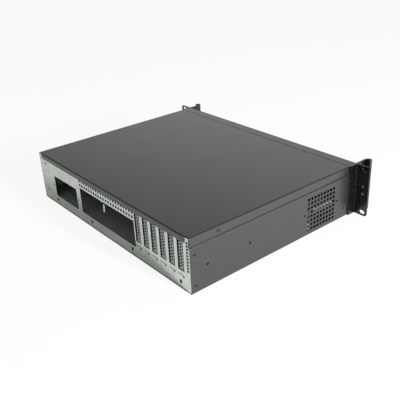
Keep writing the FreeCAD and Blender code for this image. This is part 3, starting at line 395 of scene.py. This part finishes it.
class Surface(Enum):
    """The finishes this case has."""

    # satin black film on the cover: it mirrors a bright room as dark grey. Its folds are shaded
    # rounder than the sheet bends, which draws their dark lines
    COATED_COVER = PowderCoat("powder_coated_cover_steel", "#1b1b1c", 0.3, ior=1.8, edge_mm=2.8)
    # the same film on the vented body: crisp at its many holes, with a pale colour painted inside the far
    # side wall as painted light that lightens the interior
    COATED_BODY = PowderCoat("powder_coated_body_steel", "#1b1b1c", 0.3, ior=1.8, edge_mm=0.3,
                             painted_light_past_mm=150.0)
    # a deeper black on plate and ears, as painted shade that keeps them darker than the body
    COATED_FRONT = PowderCoat("powder_coated_front_steel", "#070809", 0.22, ior=1.6)
    # nearly the same black on the handles, with a finer grain
    COATED_HANDLE = PowderCoat("powder_coated_handle", "#08090a", 0.22, ior=1.6, grain_mm=0.6)
    # bright dipped zinc: a pale, faintly green metal that mirrors softly, with painted shade that makes its
    # cut edges and hole walls nearly black
    GALVANISED = GalvanisedSheet("hot_dipped_sheet", "#cbd2ca", 0.24, 1.0)
    # the same zinc on the punched covers, painted greyer than the wall's as painted shade, so that the rows
    # of small holes stand back from the bars
    PUNCHED_PAINTED_SHADE = GalvanisedSheet("punched_sheet_painted_shade", "#9ca39b", 0.3, 1.0)
    # zinc gone dull inside the case: cool and chalky, light on upright faces, and darker on level faces as
    # painted shade
    DULL_ZINC = GalvanisedSheet("dull_hot_dipped_sheet", "#d6ebe8", 0.45, 0.1, painted_shade="#8a9290")
    # thin bright plating on inner screws: small clear glints
    ZINC_PLATED = TurnedMetal("zinc_plated_steel", "#c9cac6", 0.3, 1.0)
    # nickel on the handle screws, darkened as painted shade: they only just stand out from the ears
    NICKEL_PLATED = TurnedMetal("nickel_plated_steel", "#646361", 0.36, 1.0)
    # oxide-blackened heads: satin black dots on the sheet
    BLACK_OXIDE = TurnedMetal("black_oxide_steel", "#1b1b1c", 0.38, 0.6)
    # turned brass posts: warm yellow metal
    BRASS = TurnedMetal("turned_brass", "#b99a58", 0.3, 1.0)
    # tinned socket shells: a pale rim with a soft shine
    TIN_PLATED = TurnedMetal("tin_plated_steel", "#bdbebc", 0.32, 1.0)
    # moulded button caps: even black with a fine matt grain
    ABS = MouldedPlastic("moulded_abs", "#151516", 0.4)
    # switch bodies and socket tongues: a duller black
    NYLON = MouldedPlastic("moulded_nylon", "#101011", 0.5)
    # moulded light pipes: clear and faintly blue
    ACRYLIC = MouldedPlastic("clear_acrylic", "#e6eceb", 0.12, ior=1.49, grain_mm=0.8,
                             transmission=0.9)
    # mask over glass weave: dark green with a soft gloss
    BOARD = SolderMask("solder_masked_board", "#16402a", 0.35)


def dress(node: str, surface: Surface) -> None:
    """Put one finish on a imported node.

    Args:
        node: the node's name.
        surface: the finish it gets.
    """
    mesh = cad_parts[node].data
    mesh.materials.clear()
    mesh.materials.append(surface.value.material())
    LOG.info("%s: %s", node, surface.value.name)


@dataclass
class Shell:
    """Folded and coated steel: tray, cover and front frame, with their fasteners."""

    cover: Surface = Surface.COATED_COVER
    vented: Surface = Surface.COATED_BODY
    fastener: Surface = Surface.BLACK_OXIDE

    def dress(self) -> None:
        """Dress the coated sheets, the coated cover screws and the black fasteners."""
        for node in ("base_tray", "front_frame", "cover_screws"):
            dress(node, self.vented)
        dress("top_cover", self.cover)
        for node in ("side_rivets", "tray_screws"):
            dress(node, self.fastener)


@dataclass
class RackFront:
    """Front plate, ears and handles, with their screws."""

    coat: Surface = Surface.COATED_FRONT
    grip: Surface = Surface.COATED_HANDLE
    ear_screw: Surface = Surface.BLACK_OXIDE
    handle_screw: Surface = Surface.NICKEL_PLATED

    def dress(self) -> None:
        """Dress the front plate, the ears, the handles and their screws."""
        for node in ("front_panel", "ear_bracket_left", "ear_bracket_right"):
            dress(node, self.coat)
        for node in ("handle_left", "handle_right"):
            dress(node, self.grip)
        dress("ear_screws", self.ear_screw)
        dress("handle_screws", self.handle_screw)


@dataclass
class RearPanel:
    """Galvanised rear wall with its slot covers, rail, screws and wire finger."""

    sheet: Surface = Surface.GALVANISED
    punched: Surface = Surface.PUNCHED_PAINTED_SHADE
    screw: Surface = Surface.ZINC_PLATED
    covers: int = 6

    def dress(self) -> None:
        """Dress the rear wall and everything on it."""
        for node in ("rear_panel", "slot_rail", "wire_finger"):
            dress(node, self.sheet)
        for number in range(1, self.covers + 1):
            dress(f"slot_cover_{number}", self.punched)
        dress("slot_screws", self.screw)


@dataclass
class Interior:
    """Raised floor, drive shelf and power supply stop, with their screws."""

    sheet: Surface = Surface.DULL_ZINC
    screw: Surface = Surface.ZINC_PLATED

    def dress(self) -> None:
        """Dress the inner sheets and their screws."""
        for node in ("board_tray", "drive_shelf", "psu_stop"):
            dress(node, self.sheet)
        for node in ("shelf_screws", "stop_screws"):
            dress(node, self.screw)


@dataclass
class Controls:
    """Buttons, switches, light pipes and sockets, and the board that carries them."""

    cap: Surface = Surface.ABS
    body: Surface = Surface.NYLON
    pipe: Surface = Surface.ACRYLIC
    shell: Surface = Surface.TIN_PLATED
    board: Surface = Surface.BOARD
    post: Surface = Surface.BRASS
    screw: Surface = Surface.ZINC_PLATED

    def dress(self) -> None:
        """Dress the control pieces."""
        for node in ("power_button", "reset_button"):
            dress(node, self.cap)
        for node in ("power_switch", "reset_switch", "usb_tongues"):
            dress(node, self.body)
        dress("light_pipes", self.pipe)
        dress("usb_shells", self.shell)
        dress("control_board", self.board)
        dress("board_posts", self.post)
        dress("board_screws", self.screw)


@dataclass(frozen=True)
class Lamp:
    """A soft rectangular lamp that points at the case."""

    name: str
    place: tuple[float, float, float]
    size: tuple[float, float]
    power: float
    aim: tuple[float, float, float] = (0.0, 0.0, 0.0)

    def build(self) -> None:
        """Make the lamp."""
        data = bpy.data.lights.new(self.name, "AREA")
        data.shape = "RECTANGLE"
        data.size, data.size_y = self.size
        data.energy = self.power
        lamp = bpy.data.objects.new(self.name, data)
        bpy.context.scene.collection.objects.link(lamp)
        lamp.location = self.place
        heading = Vector(self.aim) - Vector(self.place)
        lamp.rotation_mode = "QUATERNION"
        lamp.rotation_quaternion = heading.to_track_quat("-Z", "Y")


@dataclass
class Studio:
    """Pale floor, plain world and one soft lamp.

    The world lights matt surfaces evenly. What shines mirrors a white sweep that stands on one side
    of a dimmer room instead, and the camera sees plain white behind the case.
    """

    reach: float = 6.0               # from the case to the floor's edges
    floor_colour: str = "#f2f2f2"
    floor_roughness: float = 0.9
    camera_glow: float = 0.9         # white that the camera sees in the floor over its shadow
    mirror_glow: float = 0.08        # white that gloss and glass see in it
    fill: float = 0.45               # the world's light on matt surfaces
    dim: float = 0.1                 # the room, as gloss and glass see it
    sweep_side: tuple[float, float, float] = (0.505, -0.808, -0.303)  # where the sweep stands
    sweep_span: tuple[float, float] = (0.43, 0.81)  # how squarely it is faced where it starts and is full
    # the lamp lights the top at the plain level, and the side at -X well above it
    key: Lamp = Lamp("key_softbox", (-2.437, -0.17, 0.889), (0.12, 0.5), 110.0)

    def build(self) -> None:
        """Make the floor, the world and the lamp."""
        self._floor()
        self._world()
        self.key.build()

    def _floor(self) -> None:
        """Make the floor and its pale material, which keeps the case's shadow."""
        level = CAD_BOX[0].z
        corners = [(x * self.reach, y * self.reach, level) for x, y in ((-1, -1), (1, -1), (1, 1), (-1, 1))]
        mesh = bpy.data.meshes.new("floor")
        mesh.from_pydata(corners, [], [(0, 1, 2, 3)])
        floor = bpy.data.objects.new("floor", mesh)
        bpy.context.scene.collection.objects.link(floor)
        made = bpy.data.materials.new("matt_white_sweep")
        made.use_nodes = True
        tree = made.node_tree
        shader = tree.nodes["Principled BSDF"]
        shader.inputs["Base Color"].default_value = linear(self.floor_colour)
        shader.inputs["Roughness"].default_value = self.floor_roughness
        glow = add_node(tree, "ShaderNodeEmission", {"Color": WHITE, "Strength": 1.0})
        path = add_node(tree, "ShaderNodeLightPath")
        seen = add_node(tree, "ShaderNodeMath", {1: self.camera_glow}, {0: path.outputs["Is Camera Ray"]},
                        operation="MULTIPLY")
        mirrored = add_node(tree, "ShaderNodeMath", None,
                            {0: path.outputs["Is Glossy Ray"], 1: path.outputs["Is Transmission Ray"]},
                            operation="MAXIMUM")
        share = add_node(tree, "ShaderNodeMath", {1: self.mirror_glow},
                         {0: mirrored.outputs[0], 2: seen.outputs[0]}, operation="MULTIPLY_ADD")
        blend = add_node(tree, "ShaderNodeMixShader", None,
                         {0: share.outputs[0], 1: shader.outputs[0], 2: glow.outputs[0]})
        tree.links.new(blend.outputs[0], tree.nodes["Material Output"].inputs["Surface"])
        mesh.materials.append(made)

    def _world(self) -> None:
        """Make the world: an even fill, the sweep and the room in gloss, white for the camera."""
        world = bpy.data.worlds.new("studio")
        bpy.context.scene.world = world
        world.use_nodes = True
        tree = world.node_tree
        background = tree.nodes["Background"]
        background.inputs["Color"].default_value = WHITE
        heading = add_node(tree, "ShaderNodeTexCoord").outputs["Generated"]
        facing = add_node(tree, "ShaderNodeVectorMath", {1: self.sweep_side}, {0: heading},
                          operation="DOT_PRODUCT")
        start, full = self.sweep_span
        sweep = add_node(tree, "ShaderNodeMapRange",
                         {"From Min": start, "From Max": full, "To Min": self.dim},
                         {"Value": facing.outputs["Value"]})
        path = add_node(tree, "ShaderNodeLightPath")
        mirrored = add_node(tree, "ShaderNodeMath", None,
                            {0: path.outputs["Is Glossy Ray"], 1: path.outputs["Is Transmission Ray"]},
                            operation="MAXIMUM")
        lit = add_node(tree, "ShaderNodeMix", {2: self.fill},
                       {0: mirrored.outputs[0], 3: sweep.outputs["Result"]}, data_type="FLOAT")
        strength = add_node(tree, "ShaderNodeMix", {3: 1.0},
                            {0: path.outputs["Is Camera Ray"], 2: lit.outputs[0]}, data_type="FLOAT")
        tree.links.new(strength.outputs[0], background.inputs["Strength"])


@dataclass
class ViewPoint:
    """Camera behind and to the left of the case, looking down at it."""

    azimuth: float = 231.61          # degrees from the front, turning towards +X
    elevation: float = 26.46
    roll: float = -2.85
    distance: float = 0.96973
    target: tuple[float, float, float] = (-0.06893, 0.03648, 0.044)
    lens_mm: float = 53.81
    sensor_mm: float = 36.0

    def build(self) -> None:
        """Make the scene's camera."""
        turn, rise, tilt = (math.radians(v) for v in (self.azimuth, self.elevation, self.roll))
        back = Vector((math.sin(turn) * math.cos(rise), -math.cos(turn) * math.cos(rise), math.sin(rise)))
        right = (-back).cross(UP).normalized()
        up = right.cross(-back)
        across = right * math.cos(tilt) + up * math.sin(tilt)
        upward = up * math.cos(tilt) - right * math.sin(tilt)
        data = bpy.data.cameras.new("camera")
        data.lens = self.lens_mm
        data.sensor_width = self.sensor_mm
        camera = bpy.data.objects.new("camera", data)
        bpy.context.scene.collection.objects.link(camera)
        place = Vector(self.target) + back * self.distance
        turned = Matrix((across, upward, back)).transposed().to_4x4()
        camera.matrix_world = Matrix.Translation(place) @ turned
        bpy.context.scene.camera = camera


def main() -> None:
    """Dress the case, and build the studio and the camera."""
    logging.basicConfig(level=logging.INFO, format="%(message)s")
    for part in (Shell(), RackFront(), RearPanel(), Interior(), Controls()):
        part.dress()
        LOG.info("dressed %s", type(part).__name__)
    Studio().build()
    ViewPoint().build()
    bpy.context.scene.view_settings.view_transform = "Standard"
    LOG.info("built the studio and the camera")


if __name__ == "__main__":
    main()
